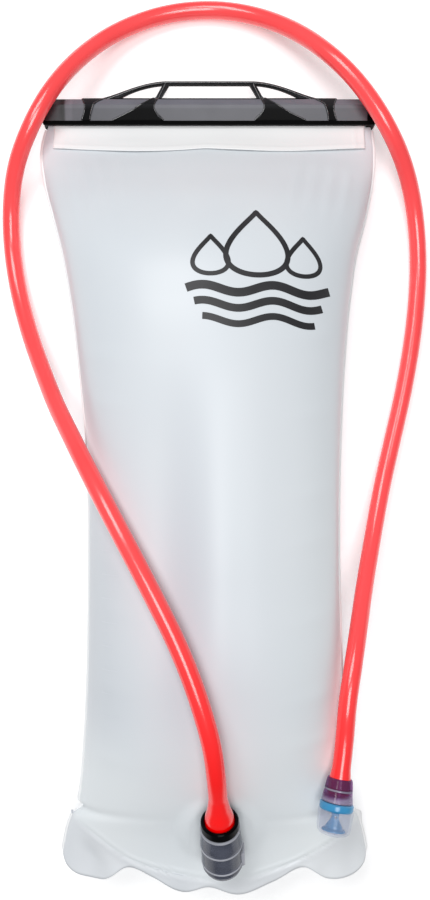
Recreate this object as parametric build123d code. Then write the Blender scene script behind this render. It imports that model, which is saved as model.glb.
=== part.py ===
from build123d import *
import math
import os

# Hydration bladder lying on its back.  +X is to the wearer's left of the print, +Y runs up the bag to
# the slide bar, +Z points away from the surface it lies on.  The origin is under the middle of the bag.
# All sizes are in millimetres.

# --- film bag -------------------------------------------------------------------------------------
FILM = 0.6                # film thickness
LIP_Z = 13.4              # height of the closed lip's mid-plane
LIP_TOP_Y = 205.0         # fold line of the lip, inside the slide bar
LIP_FOOT_Y = 193.8        # where the lip leaves the slide bar
LIP_HALF_WIDTH = 86.3     # lip inside the slide bar
SHOULDER_HALF_WIDTH = 96.0  # wider than the bag, so only the lip is trimmed

# Cross-sections from the lip to the hem: y, centre x, half width, seam height,
# rise of the front above the seam, drop of the back below it, roundness of front and back.
SECTIONS = [
    (194.0, 0.0, 90.2, LIP_Z, 0.9, 0.9, 5.0, 5.0),
    (190.0, -0.4, 91.0, 13.6, 2.2, 2.2, 3.0, 3.0),
    (182.0, -0.8, 92.0, 14.5, 6.0, 6.0, 2.2, 2.2),
    (165.0, -0.4, 90.6, 17.0, 17.0, 13.0, 2.1, 2.1),
    (143.0, 0.2, 85.4, 22.0, 32.0, 21.5, 2.1, 2.2),
    (120.0, 0.3, 79.0, 27.5, 42.5, 28.3, 2.2, 2.4),
    (92.0, 0.8, 74.0, 31.5, 46.0, 33.0, 2.2, 2.6),
    (60.0, 1.4, 70.2, 35.0, 45.0, 37.0, 2.2, 2.6),
    (12.0, 2.5, 66.5, 38.0, 42.0, 40.0, 2.2, 2.6),
    (-50.0, 2.7, 65.9, 38.0, 42.0, 40.0, 2.2, 2.6),
    (-105.0, 3.2, 67.2, 37.0, 41.0, 38.5, 2.2, 2.5),
    (-140.0, 3.0, 69.0, 34.5, 36.5, 35.0, 2.1, 2.3),
    (-166.0, 3.0, 72.0, 31.0, 28.5, 27.0, 2.0, 2.0),
    (-190.0, 3.0, 79.5, 28.5, 18.0, 22.0, 1.9, 1.8),
    (-206.0, 3.0, 82.5, 28.0, 13.5, 21.0, 1.8, 1.7),
    (-223.0, 3.0, 83.5, 28.0, 12.5, 20.0, 1.8, 1.7),
]
SECTION_STEPS = 12        # spans of each section curve

# Hem: outer scalloped edge from the left ear to the right ear, and the weld line inside it.
HEM = [(-78, -186), (-78, -203), (-70.5, -212), (-55.5, -215), (-41.5, -207), (-29, -212), (-13, -220),
       (-0.5, -216.5), (14.5, -220.5), (33, -214.5), (49.5, -207), (62, -214.5), (77, -212.5),
       (84, -201), (83.5, -186)]
GUSSET_LINE = [(-82, -178), (-66, -186), (-42, -202.5), (-15, -210.5), (3, -212.5), (22, -211),
               (43, -204.5), (72, -189), (88, -178)]

FLAP_DROP_Y = 180.5       # lower edge of the folded-over lip
FLAP_THICK = 1.2          # two films welded together
FLAP_GAP = 0.4

# --- slide bar ------------------------------------------------------------------------------------
BAR_FOOT_Y = 194.5        # lower face of the bar
BAR_Z = 14.0              # mid-plane of the bar
BAR_HALF_LENGTH = 92.3
BAR_HEIGHT = 15.2         # along Y
CAP_X = 87.3              # where the end cap starts
CAVITY = (2.6, 11.6, 3.9)  # from, to (along Y) and half width (along Z) of the rail cavity
SLOT_HALF = 2.3           # half width of the slot in the lower face
SKIN = 0.6                # thickness of the soft overmould
LOOP_TOP = 25.1           # top of the carry loop above the bar's lower face
LOOP_WINDOW_TOP = 23.4
LOOP_HALF_THICK = 1.6
RAIL_SPAN = (4.0, 9.5)    # rails inside the cavity, along Y
RAIL_THICK = 1.6

# --- port, plug and bite valve: distances along their axes ----------------------------------------
PORT_FOOT = Vector(7.3, -198.8, 55.0)
PORT_TOP = Vector(5.5, -169.2, 71.0)
BORE_R = 7.0
PLUG_SEAL_R = 6.6
PLUG_BORE_R = 2.6
NOSE_R = 4.8
CHAMBER_R = 6.0
SEAT_W = (11.0, 12.0)     # web with the valve seat
BARREL_TOP_W = 29.0
COLLAR_TOP_W = 34.6
BUTTON_TRAVEL = 1.2
FLANGE_R = 17.0
FLANGE_THICK = 2.0
FLANGE_DEPTH = 11.2       # flange's upper face below the barrel's axis
FLANGE_W = 11.0           # flange's centre along the barrel

HOSE_R = 4.75
HOSE_BORE_R = 3.175
FLARE_R = 7.4             # hose stretched over the plug's barb
VALVE_TOP = Vector(66.8, -152.0, 59.5)
VALVE_END = Vector(62.8, -176.5, 63.5)

# Hose route from the plug to the bite valve.
ROUTE = [
    (3.9, -143.4, 84.7), (2.0, -127.0, 89.5), (-2.5, -110.0, 91.0), (-8.5, -92.5, 90.5),
    (-16.0, -75.0, 89.5), (-24.5, -58.5, 88.0), (-33.5, -41.5, 86.0), (-43.0, -24.5, 82.5),
    (-52.5, -8.0, 76.5), (-61.5, 7.0, 67.5), (-71.0, 22.5, 55.5), (-81.0, 39.0, 42.0),
    (-90.0, 57.0, 28.5), (-99.5, 78.0, 16.0), (-107.5, 102.5, 8.0), (-112.0, 127.5, 5.0),
    (-112.0, 150.5, 9.0), (-107.0, 171.0, 20.0), (-97.0, 189.5, 29.5), (-86.0, 209.0, 30.0),
    (-72.5, 230.5, 20.0), (-53.0, 250.0, 9.5), (-26.5, 262.0, 5.5), (1.5, 265.0, 5.0),
    (26.5, 259.5, 9.0), (49.0, 245.0, 20.5), (67.0, 226.5, 31.5), (82.5, 209.5, 33.0),
    (96.0, 189.5, 32.0), (108.0, 171.0, 21.0), (116.0, 148.0, 9.5), (119.0, 118.5, 5.0),
    (116.5, 84.5, 5.0), (111.0, 51.0, 5.0), (104.0, 21.0, 5.5), (97.0, -7.5, 8.0),
    (90.5, -35.0, 16.5), (84.0, -59.0, 29.5), (79.0, -77.5, 43.0), (74.5, -95.5, 53.5),
    (70.5, -115.0, 58.5), (69.2, -137.4, 57.1),
]


def fillet_radius(before, corner, after):
    """Largest arc at a route corner: 0.45 of the shorter run over the tangent of half the turn."""
    run_in = corner - before
    run_out = after - corner
    half_turn = math.radians(run_in.get_angle(run_out)) / 2
    return 0.45 * min(run_in.length, run_out.length) / math.tan(half_turn)


def turned(points, place):
    """Solid of revolution from (radius, distance along the axis) points."""
    outline = Polyline(*[(r, 0, w) for r, w in points], close=True)
    return place * revolve(make_face(outline), Axis.Z)


def ring(radius, wire_radius, w, place):
    """O-ring at distance w along the axis."""
    return place * Pos(0, 0, w) * Torus(radius, wire_radius)


def rod(radius, low, high):
    """Cylinder along the axis between two distances."""
    return Pos(0, 0, low) * Cylinder(radius, high - low, align=(Align.CENTER, Align.CENTER, Align.MIN))


def block(low, high):
    """Box between two corners."""
    size = [b - a for a, b in zip(low, high)]
    return Pos(*low) * Box(*size, align=(Align.MIN, Align.MIN, Align.MIN))


# --- film bag -------------------------------------------------------------------------------------
def section_wire(section, inset):
    """Closed cross-section: two superellipse halves that meet at the side seams."""
    y, centre, half, seam_z, rise, drop, front_power, back_power = section

    def arc(height, power):
        points = []
        for step in range(SECTION_STEPS + 1):
            angle = math.pi * step / SECTION_STEPS
            across = math.copysign(abs(math.cos(angle)) ** (2 / power), math.cos(angle))
            up = round(math.sin(angle), 9) ** (2 / power)
            points.append((centre + (half - inset) * across, y, seam_z + height * up))
        return Spline(*points)

    return Wire([arc(rise - inset, front_power), arc(inset - drop, back_power)])


def bag_solid(inset):
    """Filled bag, set in by the film's thickness for the inside."""
    return Solid.make_loft([section_wire(section, inset) for section in SECTIONS])


def bag_outline():
    """What the bag may cover in plan: a narrow lip at the top and the scalloped hem at the bottom."""
    (left_x, left_y), (right_x, right_y) = HEM[0], HEM[-1]
    sides = Polyline((right_x, right_y), (SHOULDER_HALF_WIDTH, right_y), (SHOULDER_HALF_WIDTH, LIP_FOOT_Y),
                     (LIP_HALF_WIDTH, LIP_FOOT_Y), (LIP_HALF_WIDTH, LIP_TOP_Y),
                     (-LIP_HALF_WIDTH, LIP_TOP_Y), (-LIP_HALF_WIDTH, LIP_FOOT_Y),
                     (-SHOULDER_HALF_WIDTH, LIP_FOOT_Y), (-SHOULDER_HALF_WIDTH, left_y), (left_x, left_y))
    outline = make_face([Spline(*HEM), sides])
    return Pos(0, 0, -20) * extrude(outline, 140)


def above_seam():
    """Everything above the seam surface, as a slab across the bag."""
    seam = Spline(*[(0, s[0], s[3]) for s in SECTIONS])
    first, last = SECTIONS[0], SECTIONS[-1]
    frame = Polyline((0, last[0], last[3]), (0, last[0], 120), (0, LIP_TOP_Y + 1, 120),
                     (0, LIP_TOP_Y + 1, LIP_Z), (0, first[0], first[3]))
    return Pos(-120, 0, 0) * extrude(make_face([seam, frame]), 240, dir=(1, 0, 0))


def lip_plate(low_z):
    """Flat top of one film, inside the slide bar."""
    return block((-LIP_HALF_WIDTH, LIP_FOOT_Y - 0.2, low_z), (LIP_HALF_WIDTH, LIP_TOP_Y, low_z + FILM))


def films_and_gusset(port):
    """Front film, back film and the bottom gusset between them."""
    outer = bag_solid(0)
    inner = bag_solid(FILM)
    outline = bag_outline()
    shell = (outer - inner) & outline
    upper = above_seam()
    front = (shell & upper) + lip_plate(LIP_Z + 0.3)
    front -= port * Pos(0, FLANGE_DEPTH, FLANGE_W) * Rot(90, 0, 0) * Cylinder(FLANGE_R + 0.2, 30)

    floor = block((-120, -240, -20), (120, 240, 0))
    patch = (outer & block((-120, -150, 0), (120, 150, FILM)))
    back = (shell - upper - floor) + patch + lip_plate(LIP_Z - 0.3 - FILM)

    line = Spline(*GUSSET_LINE)
    inside_line = Pos(0, FILM, 0) * line
    ends = [Line(line @ 0, inside_line @ 0), Line(line @ 1, inside_line @ 1)]
    wall = Pos(0, 0, -10) * extrude(make_face([line, inside_line] + ends), 100)
    gusset = wall & inner
    return front, back, gusset


def fold_over_flap():
    """Lip folded forward over the front and hanging below the slide bar."""
    low = LIP_Z + 0.9 + FLAP_GAP
    top = low + FLAP_THICK
    inside_y = LIP_TOP_Y + 0.2
    profile = Polyline((0, LIP_TOP_Y + 0.9, LIP_Z - 0.9), (0, LIP_TOP_Y + 0.9, top), (0, BAR_FOOT_Y, top),
                       (0, 188.0, top + 3.4), (0, FLAP_DROP_Y, top + 7.9),
                       (0, FLAP_DROP_Y, low + 7.9), (0, 188.0, low + 3.4), (0, BAR_FOOT_Y, low),
                       (0, inside_y, low), (0, inside_y, LIP_Z - 0.9), close=True)
    length = 2 * LIP_HALF_WIDTH
    return Pos(-LIP_HALF_WIDTH, 0, 0) * extrude(make_face(profile), length, dir=(1, 0, 0))


def closure_rail(low_z):
    """Stiff bead that keeps the lip in the slide bar."""
    low_y = BAR_FOOT_Y + RAIL_SPAN[0]
    high_y = BAR_FOOT_Y + RAIL_SPAN[1]
    rail = block((-LIP_HALF_WIDTH, low_y, low_z), (LIP_HALF_WIDTH, high_y, low_z + RAIL_THICK))
    return rail


# --- slide bar ------------------------------------------------------------------------------------
def bar_profile(grow):
    """Half-open bar section (up, out) with a ridge on both faces, as a closed outer outline."""
    half = [(0.6 - grow, 4.3), (2.2, 4.8 + grow * 0.9), (10.2, 6.7 + grow), (13.9, 4.5 + grow * 0.8),
            (14.6 + grow, 2.9)]
    return half + [(up, -out) for up, out in reversed(half)]


def bar_prism(points):
    """Bar section run along X over the full length."""
    outline = Polyline(*[(0, BAR_FOOT_Y + up, BAR_Z + out) for up, out in points], close=True)
    return Pos(-BAR_HALF_LENGTH, 0, 0) * extrude(make_face(outline), 2 * BAR_HALF_LENGTH, dir=(1, 0, 0))


def bar_hollow():
    """Rail cavity and the slot that opens it downwards."""
    cavity_low, cavity_high, cavity_half = CAVITY
    cavity = [(cavity_low, -cavity_half), (cavity_high, -cavity_half), (cavity_high, cavity_half),
              (cavity_low, cavity_half)]
    slot = [(-1, -SLOT_HALF), (cavity_low, -SLOT_HALF), (cavity_low, SLOT_HALF), (-1, SLOT_HALF)]
    return bar_prism(cavity) + bar_prism(slot)


def plan_face(edges):
    """Flat face in plan from edges drawn as (x, up the bar)."""
    return Pos(0, BAR_FOOT_Y, 0) * make_face(edges)


def bar_plan():
    """Plan outline of the bar with its rounded ends."""
    end = BAR_HALF_LENGTH
    top = BAR_HEIGHT + 0.1
    left = Spline((-end, 1.0), (-end + 0.5, 8.0), (-end + 2.4, 12.4), (-end + 6.5, top))
    right = Spline((end, 1.0), (end - 0.2, 6.0), (end - 3.8, 11.6), (end - 11.0, top))
    rest = [Line((-end + 6.5, top), (end - 11.0, top)),
            Polyline((end, 1.0), (end - 1.0, -0.1), (-end + 1.0, -0.1), (-end, 1.0))]
    return extrude(plan_face([left, right] + rest), 40)


def window(outer, inner):
    """Opening in the overmould between two upright curves, given from bottom to top."""
    edges = [Spline(*outer), Spline(*inner), Line(outer[0], inner[0]), Line(outer[-1], inner[-1])]
    return extrude(plan_face(edges), 40)


def grey_windows():
    """Where the rigid channel shows through the soft overmould."""
    sill = 1.9
    head = BAR_HEIGHT + 0.1
    windows = []
    for side in (-1, 1):
        outer = [(side * 66.0, sill), (side * 65.4, 5.5), (side * 63.0, 11.0), (side * 57.0, head)]
        inner = [(side * 54.0, sill), (side * 40.0, 8.5), (side * 32.0, head - 0.8)]
        windows.append(window(outer, inner))
        end = [(side * 70.6, sill), (side * 68.5, 9.0), (side * 70.5, head)]
        past = [(side * 99.0, sill), (side * 99.1, 9.0), (side * 99.0, head)]
        windows.append(window(end, past))
    left = [(-25.0, sill), (-30.5, 8.5), (-28.5, 14.2)]
    right = [(-x, up) for x, up in left]
    windows.append(window(left, right))
    return windows


def carry_loop():
    """Soft loop over the bar with three windows."""
    foot = BAR_HEIGHT - 2.0
    left = [(-71.0, 15.0), (-58.0, 16.1), (-44.0, 20.9), (-33.0, 24.0), (-24.5, LOOP_TOP)]
    roof_y = LOOP_WINDOW_TOP
    right = [(-x, up) for x, up in left]
    edges = [Spline(*left), Spline(*right), Line(left[-1], right[-1]),
             Polyline(left[0], (-71.0, foot), (71.0, foot), right[0])]
    loop = extrude(plan_face(edges), 2 * LOOP_HALF_THICK)
    middle = Polyline((-27.4, 15.3), (-22.4, roof_y), (22.4, roof_y), (27.4, 15.3), close=True)
    loop -= extrude(plan_face(middle), 40)
    for side in (-1, 1):
        roof = Spline((side * 50.0, 16.0), (side * 38.0, 21.2), (side * 25.8, roof_y))
        frame = Polyline((side * 25.8, roof_y), (side * 30.2, 15.3), (side * 50.0, 15.3), (side * 50.0, 16.0))
        loop -= extrude(plan_face([roof, frame]), 40)
    return Pos(0, 0, BAR_Z - LOOP_HALF_THICK) * loop


def slide_bar():
    """Rigid channel, soft overmould with the carry loop, and end cap."""
    hollow = bar_hollow()
    plan = bar_plan()
    core = (bar_prism(bar_profile(0)) - hollow) & plan
    inside_cap = block((-120, 150, -20), (CAP_X, 250, 60))
    channel = core & inside_cap

    skin = bar_prism(bar_profile(SKIN)) & plan
    skin = (skin & inside_cap) - bar_prism(bar_profile(0)) - hollow
    for opening in grey_windows():
        skin -= opening
    loop = carry_loop() - bar_prism(bar_profile(0))
    overmould = skin + loop

    cap = bar_prism(bar_profile(SKIN)) & plan & block((CAP_X, 150, -20), (120, 250, 60))
    return channel, overmould, cap


# --- port -----------------------------------------------------------------------------------------
def port_place():
    """Frame on the port's axis: X to the right, Y into the bag, Z towards the hose."""
    axis = (PORT_TOP - PORT_FOOT).normalized()
    across = Vector(axis.Y, -axis.X, 0).normalized()
    return Plane(origin=PORT_FOOT, x_dir=across, z_dir=axis).location


BUTTON_W = (4.2, 13.0)    # release button along the barrel
PLATE_W = (13.4, 14.6)    # latch plate along the barrel
BUTTON_HALF = 3.6
BUTTON_X = (9.6, 11.4)    # inner and outer faces from the axis


def port_housing():
    """Barrel with plug bore, valve seat, poppet chamber, button pocket and latch slot."""
    shape = rod(10.4, 3.6, 20.0) + Pos(0, 0, 20.0) * Cone(
        10.4, 9.7, BARREL_TOP_W - 20.0, align=(Align.CENTER, Align.CENTER, Align.MIN))
    shape += block((-6.5, 0, 4.0), (6.5, FLANGE_DEPTH, 24.0))
    shape -= rod(BORE_R, SEAT_W[1], 40)
    shape -= rod(3.2, SEAT_W[0] - 1, SEAT_W[1] + 1)
    shape -= rod(CHAMBER_R, 0, SEAT_W[0])
    shape -= Pos(0, 10, 7.6) * Rot(90, 0, 0) * Cylinder(2.6, 16)
    shape -= block((8.0, -BUTTON_HALF - 0.3, BUTTON_W[0] - 0.3), (20, BUTTON_HALF + 0.3, PLATE_W[1] + 0.3))
    slot_low, slot_high = PLATE_W[0] - 0.3, PLATE_W[1] + 0.3
    shape -= rod(8.1, slot_low, slot_high) + Pos(-BUTTON_TRAVEL, 0, 0) * rod(8.1, slot_low, slot_high)
    shape -= block((5.0, -3.3, slot_low), (9.0, 3.3, slot_high))
    return shape


def port_end_cap():
    """Rounded foot that closes the poppet chamber."""
    return [(0, 0), (8.0, 0), (9.4, 1.0), (10.2, 3.6), (5.9, 3.6), (5.9, 5.0), (0, 5.0)]


def release_button():
    """Push button on the barrel's right side, with a finger dish."""
    low, high = BUTTON_W
    button = block((BUTTON_X[0], -BUTTON_HALF, low), (BUTTON_X[1], BUTTON_HALF, high))
    button = fillet(button.edges().filter_by(Axis.Z).group_by(Axis.X)[-1], 1.0)
    return button - Pos(BUTTON_X[1] + 8.4, 0, (low + high) / 2) * Rot(90, 0, 0) * Cylinder(9.0, 5.0)


def latch_plate():
    """Ring plate that the button pushes across the plug's nose."""
    low, high = PLATE_W
    plate = rod(7.7, low, high) + block((0, -3.0, low), (BUTTON_X[1] - 1.0, 3.0, high))
    return plate - rod(6.3, low - 1, high + 1)


def latch_spring():
    """Leaf spring behind the button."""
    return block((8.1, -2.0, 5.0), (8.6, 2.0, 12.2)) + block((8.6, -2.0, 8.1), (9.5, 2.0, 9.1))


def coil(radius, wire, low, high, turns):
    """Round-wire compression spring along the axis."""
    height = high - low - 2 * wire
    helix = Helix(pitch=height / turns, height=height, radius=radius)
    section = Plane(origin=helix @ 0, z_dir=helix % 0) * Circle(wire)
    return Pos(0, 0, low + wire) * sweep(section, path=helix)


def poppet():
    """Shut-off disc with the stem that the plug's nose pushes."""
    return [(0, 7.6), (4.9, 7.6), (4.9, 8.8), (1.4, 8.8), (1.4, 13.0), (0, 13.0)]


# --- plug and hose --------------------------------------------------------------------------------
def plug_body():
    """Nose, O-ring seal section and hose barb on one flow bore."""
    grooves = []
    for centre in (20.4, 24.4):
        grooves += [(PLUG_SEAL_R, centre - 0.9), (5.2, centre - 0.9), (5.2, centre + 0.9),
                    (PLUG_SEAL_R, centre + 0.9)]
    return ([(PLUG_BORE_R, 13.1), (NOSE_R, 13.1), (NOSE_R, 17.5), (PLUG_SEAL_R, 18.3)] + grooves +
            [(PLUG_SEAL_R, 29.2), (5.0, 29.2), (5.4, 33.0), (4.3, 35.0), (4.6, 38.0), (3.8, 41.0),
             (PLUG_BORE_R, 41.0)])


def plug_collar():
    """Black ring that the flared hose end sits in."""
    return [(5.5, BARREL_TOP_W + 0.3), (9.2, BARREL_TOP_W + 0.3), (9.6, 30.2), (9.5, COLLAR_TOP_W - 0.7),
            (9.0, COLLAR_TOP_W), (8.0, COLLAR_TOP_W), (7.7, COLLAR_TOP_W - 1.1), (7.6, 30.6), (5.5, 30.6)]


def hose_path(start, finish):
    """Straight runs of the route joined by tangent arcs, from the flare's end into the bite valve."""
    points = [start] + [Vector(*p) for p in ROUTE] + [finish]
    radii = [fillet_radius(*triple) for triple in zip(points, points[1:], points[2:])]
    print("hose arc radii", [round(r) for r in radii])
    return FilletPolyline(*points, radius=radii)


FLARE_W = (30.8, 50.0)    # stretched hose end along the port's axis


def hose(port, valve):
    """Hollow tube with its end stretched over the plug's barb."""
    low, high = FLARE_W
    start = port * Pos(0, 0, high)
    finish = valve * Pos(0, 0, VALVE_HOSE_END)
    path = hose_path(start.position, finish.position)
    section = Plane(origin=path @ 0, z_dir=path % 0)
    outside = sweep(section * Circle(HOSE_R), path=path)
    inside = sweep(section * Circle(HOSE_BORE_R), path=path)
    area = math.pi * (HOSE_R ** 2 - HOSE_BORE_R ** 2)
    print("hose path length", round(path.length, 1))
    print("tube volume over section times length",
          round((outside.volume - inside.volume) / (area * path.length), 4))
    outside += turned([(0, low), (FLARE_R, low), (FLARE_R, 35.8), (6.9, 38.5), (6.35, 40.2), (5.65, 43.2),
                       (5.1, 47.0), (HOSE_R, high), (0, high)], port)
    inside += turned([(0, low - 1), (5.5, low - 1), (5.5, 35.2), (4.7, 38.2), (3.7, 43.0),
                      (HOSE_BORE_R, high), (0, high)], port)
    return outside - inside


# --- bite valve -----------------------------------------------------------------------------------
def valve_place():
    """Frame on the bite valve's axis: Z from the hose towards the mouthpiece."""
    axis = (VALVE_END - VALVE_TOP).normalized()
    across = Vector(axis.Y, -axis.X, 0).normalized()
    return Plane(origin=VALVE_TOP, x_dir=across, z_dir=axis).location


VALVE_HOSE_END = 7.6      # hose reaches this far into the sleeve
VALVE_BARB_R = 3.1
VALVE_SPIGOT_R = 5.0


def bite_valve_sleeve():
    """Clear sleeve over the hose end and the barb's flange."""
    return [(5.7, 0), (6.1, 0), (6.5, 0.7), (7.1, 4.7), (6.8, 5.2), (6.8, 6.0), (7.25, 6.5), (8.1, 11.4),
            (7.8, 11.6), (7.4, 11.6), (7.4, 8.4), (5.7, 8.4)]


def bite_valve_barb():
    """Barb, flange and spigot that the mouthpiece turns on."""
    bore = 2.1
    tooth, neck = VALVE_BARB_R, VALVE_BARB_R - 0.4
    return [(bore, 0.8), (neck - 0.2, 0.8), (tooth, 2.2), (neck, 2.8), (tooth, 5.0), (neck, 5.6), (neck, 8.5),
            (7.2, 8.5), (7.2, 11.2), (VALVE_SPIGOT_R, 11.2), (VALVE_SPIGOT_R, 12.4), (3.9, 12.4), (3.9, 13.8),
            (VALVE_SPIGOT_R, 13.8), (VALVE_SPIGOT_R, 14.7), (bore, 14.7)]


def bite_valve_core(place):
    """Blue band and hourglass stem with flow holes."""
    core = turned([(5.1, 11.9), (8.1, 11.9), (8.7, 12.5), (8.7, 14.8), (8.2, 15.6), (2.9, 15.6), (2.2, 17.0),
                   (1.8, 18.8), (2.2, 20.2), (4.3, 23.4), (4.3, 24.0), (6.0, 25.0), (6.0, 25.6), (0, 26.1),
                   (0, 14.9), (5.1, 14.9)], place)
    core -= place * rod(0.9, 14.0, 20.0)
    for turn in (0, 90):
        core -= place * Pos(0, 0, 19.0) * Rot(0, 0, turn) * Rot(90, 0, 0) * Cylinder(0.7, 14)
    return core


def bite_valve_mouthpiece(place):
    """Soft clear head with a bite slit."""
    head = turned([(7.4, 15.9), (8.9, 15.9), (9.0, 17.0), (8.7, 23.6), (8.3, 25.6), (7.2, 26.9), (5.0, 27.7),
                   (0, 28.0), (0, 26.8), (6.4, 26.2), (7.2, 25.2), (7.5, 23.4), (7.6, 17.0)], place)
    return head - place * block((-2.8, -0.2, 26.4), (2.8, 0.2, 33.0))


# --- assembly -------------------------------------------------------------------------------------
def build():
    """Every piece by the name that a person would use for it."""
    port = port_place()
    valve = valve_place()
    front, back, gusset = films_and_gusset(port)
    channel, overmould, cap = slide_bar()
    flange = Pos(0, FLANGE_DEPTH, FLANGE_W) * Rot(-90, 0, 0) * Cylinder(
        FLANGE_R, FLANGE_THICK, align=(Align.CENTER, Align.CENTER, Align.MIN))
    flange -= Pos(0, FLANGE_DEPTH, 7.6) * Rot(90, 0, 0) * Cylinder(2.6, 10)
    return {
        "front_film": front,
        "back_film": back,
        "bottom_gusset": gusset,
        "fold_over_flap": fold_over_flap(),
        "closure_rail_front": closure_rail(BAR_Z + 1.95),
        "closure_rail_back": closure_rail(BAR_Z - 1.7 - RAIL_THICK),
        "slider_channel": channel,
        "slider_overmould": overmould,
        "slider_end_cap": cap,
        "port_flange": port * flange,
        "port_housing": port * port_housing(),
        "port_end_cap": turned(port_end_cap(), port),
        "release_button": port * release_button(),
        "latch_plate": port * latch_plate(),
        "latch_spring": port * latch_spring(),
        "shutoff_poppet": turned(poppet(), port),
        "poppet_seal": turned([(3.5, 8.8), (4.8, 8.8), (4.5, 9.5), (3.8, 9.5)], port),
        "poppet_spring": port * coil(3.4, 0.3, 5.05, 7.55, 2.5),
        "plug_body": turned(plug_body(), port),
        "plug_o_rings": Compound([ring(6.05, 0.85, w, port) for w in (20.4, 24.4)]),
        "plug_collar": turned(plug_collar(), port),
        "hose": hose(port, valve),
        "bite_valve_sleeve": turned(bite_valve_sleeve(), valve),
        "bite_valve_barb": turned(bite_valve_barb(), valve),
        "bite_valve_o_ring": ring(4.5, 0.55, 13.1, valve),
        "bite_valve_core": bite_valve_core(valve),
        "bite_valve_mouthpiece": bite_valve_mouthpiece(valve),
    }


os.makedirs("parts", exist_ok=True)
for name, solid in build().items():
    export_step(solid, f"parts/{name}.step")
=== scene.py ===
"""Looks of the hydration bladder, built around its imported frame.

Metres, in the frame's own axes: +X to the right, +Y up the bag to the slide bar, +Z away from the
surface that the bag lies on.
"""
import math

import bpy
import numpy as np
from mathutils import Matrix, Vector, noise
from mathutils.bvhtree import BVHTree

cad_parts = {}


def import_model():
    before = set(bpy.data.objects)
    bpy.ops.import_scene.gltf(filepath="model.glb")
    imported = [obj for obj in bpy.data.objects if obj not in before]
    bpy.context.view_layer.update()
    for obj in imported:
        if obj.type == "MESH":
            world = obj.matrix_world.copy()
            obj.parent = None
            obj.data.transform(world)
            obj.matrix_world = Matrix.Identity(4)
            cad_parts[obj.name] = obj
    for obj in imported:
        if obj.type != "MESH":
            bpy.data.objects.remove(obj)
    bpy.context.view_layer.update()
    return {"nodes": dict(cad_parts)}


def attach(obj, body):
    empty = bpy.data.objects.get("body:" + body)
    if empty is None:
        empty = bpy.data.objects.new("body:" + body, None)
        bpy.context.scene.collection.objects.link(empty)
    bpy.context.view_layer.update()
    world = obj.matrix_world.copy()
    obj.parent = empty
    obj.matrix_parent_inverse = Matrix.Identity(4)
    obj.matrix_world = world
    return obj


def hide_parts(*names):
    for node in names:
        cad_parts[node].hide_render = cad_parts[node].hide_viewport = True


MM = 0.001

# --- camera ---------------------------------------------------------------------------------------
CAMERA_PLACE = (0.0032, 0.0145, 0.520)
SENSOR = 36.0              # millimetres, over the picture's height
LENS = 36.28

# --- hose -----------------------------------------------------------------------------------------
HOSE_RADIUS = 0.00475
BORE_RADIUS = 0.003175
PORT_FOOT = Vector((0.0073, -0.1988, 0.0550))
PORT_TOP = Vector((0.0055, -0.1692, 0.0710))
VALVE_TOP = Vector((0.0668, -0.1520, 0.0595))
VALVE_END = Vector((0.0628, -0.1765, 0.0635))
FLARE_START = 0.0308      # along the port's axis
FLARE_END = 0.0500
FLARE_MIDDLE = 0.0400
TUBE_STEPS = 40           # points round the hose
SLEEVE_TINTED_Y = -0.1585  # the sleeve is tinted above this Y and clearer below the next
SLEEVE_CLEAR_Y = -0.1605
VALVE_HOSE_END = 0.0076   # along the valve's axis
# hose radius where it is stretched over the plug's barb and the valve's, by the distance from that end
FLARE = [(0.0, 0.0074), (0.0050, 0.00735), (0.0077, 0.0069), (0.0094, 0.00635), (0.0124, 0.00565),
         (0.0162, 0.0051), (0.0192, HOSE_RADIUS)]
VALVE_FLARE = [(0.0, 0.0055), (0.0076, 0.0055), (0.0125, HOSE_RADIUS)]
# control points between the two stretched ends, in millimetres
ROUTE = [
    (3.9, -143.4, 84.7), (2.0, -127.0, 89.5), (-2.5, -110.0, 91.0), (-8.5, -92.5, 90.5),
    (-16.0, -75.0, 89.5), (-24.5, -58.5, 88.0), (-33.5, -41.5, 86.0), (-43.0, -24.5, 82.5),
    (-52.5, -8.0, 76.5), (-61.5, 7.0, 67.5), (-71.0, 22.5, 55.5), (-81.0, 39.0, 42.0),
    (-90.0, 57.0, 28.5), (-99.5, 78.0, 16.0), (-107.5, 102.5, 8.0), (-112.0, 127.5, 5.0),
    (-112.0, 150.5, 9.0), (-107.0, 171.0, 20.0), (-97.0, 189.5, 29.5), (-86.0, 209.0, 30.0),
    (-72.5, 230.5, 20.0), (-53.0, 250.0, 9.5), (-26.5, 262.0, 5.5), (1.5, 265.0, 5.0),
    (26.5, 259.5, 9.0), (49.0, 245.0, 20.5), (67.0, 226.5, 31.5), (82.5, 209.5, 33.0),
    (96.0, 189.5, 32.0), (108.0, 171.0, 21.0), (116.0, 148.0, 9.5), (119.0, 118.5, 5.0),
    (116.5, 84.5, 5.0), (111.0, 51.0, 5.0), (104.0, 21.0, 5.5), (97.0, -7.5, 8.0),
    (90.5, -35.0, 16.5), (84.0, -59.0, 29.5), (79.0, -77.5, 43.0), (74.5, -95.5, 53.5),
    (70.5, -115.0, 58.5), (69.2, -137.4, 57.1),
]

# --- port, in millimetres -------------------------------------------------------------------------
FLANGE_DEPTH = 11.2       # flange's upper face below the barrel's axis
FLANGE_ALONG = 11.0       # its centre along the barrel
FLANGE_COVER = 0.7        # film over the flange
PORT_RINGS = [(9.75, 28.6), (10.45, 17.9), (10.4, 6.4)]   # radius and place along the barrel
RING_SINK = 0.8           # foot of a ring inside the barrel

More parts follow.
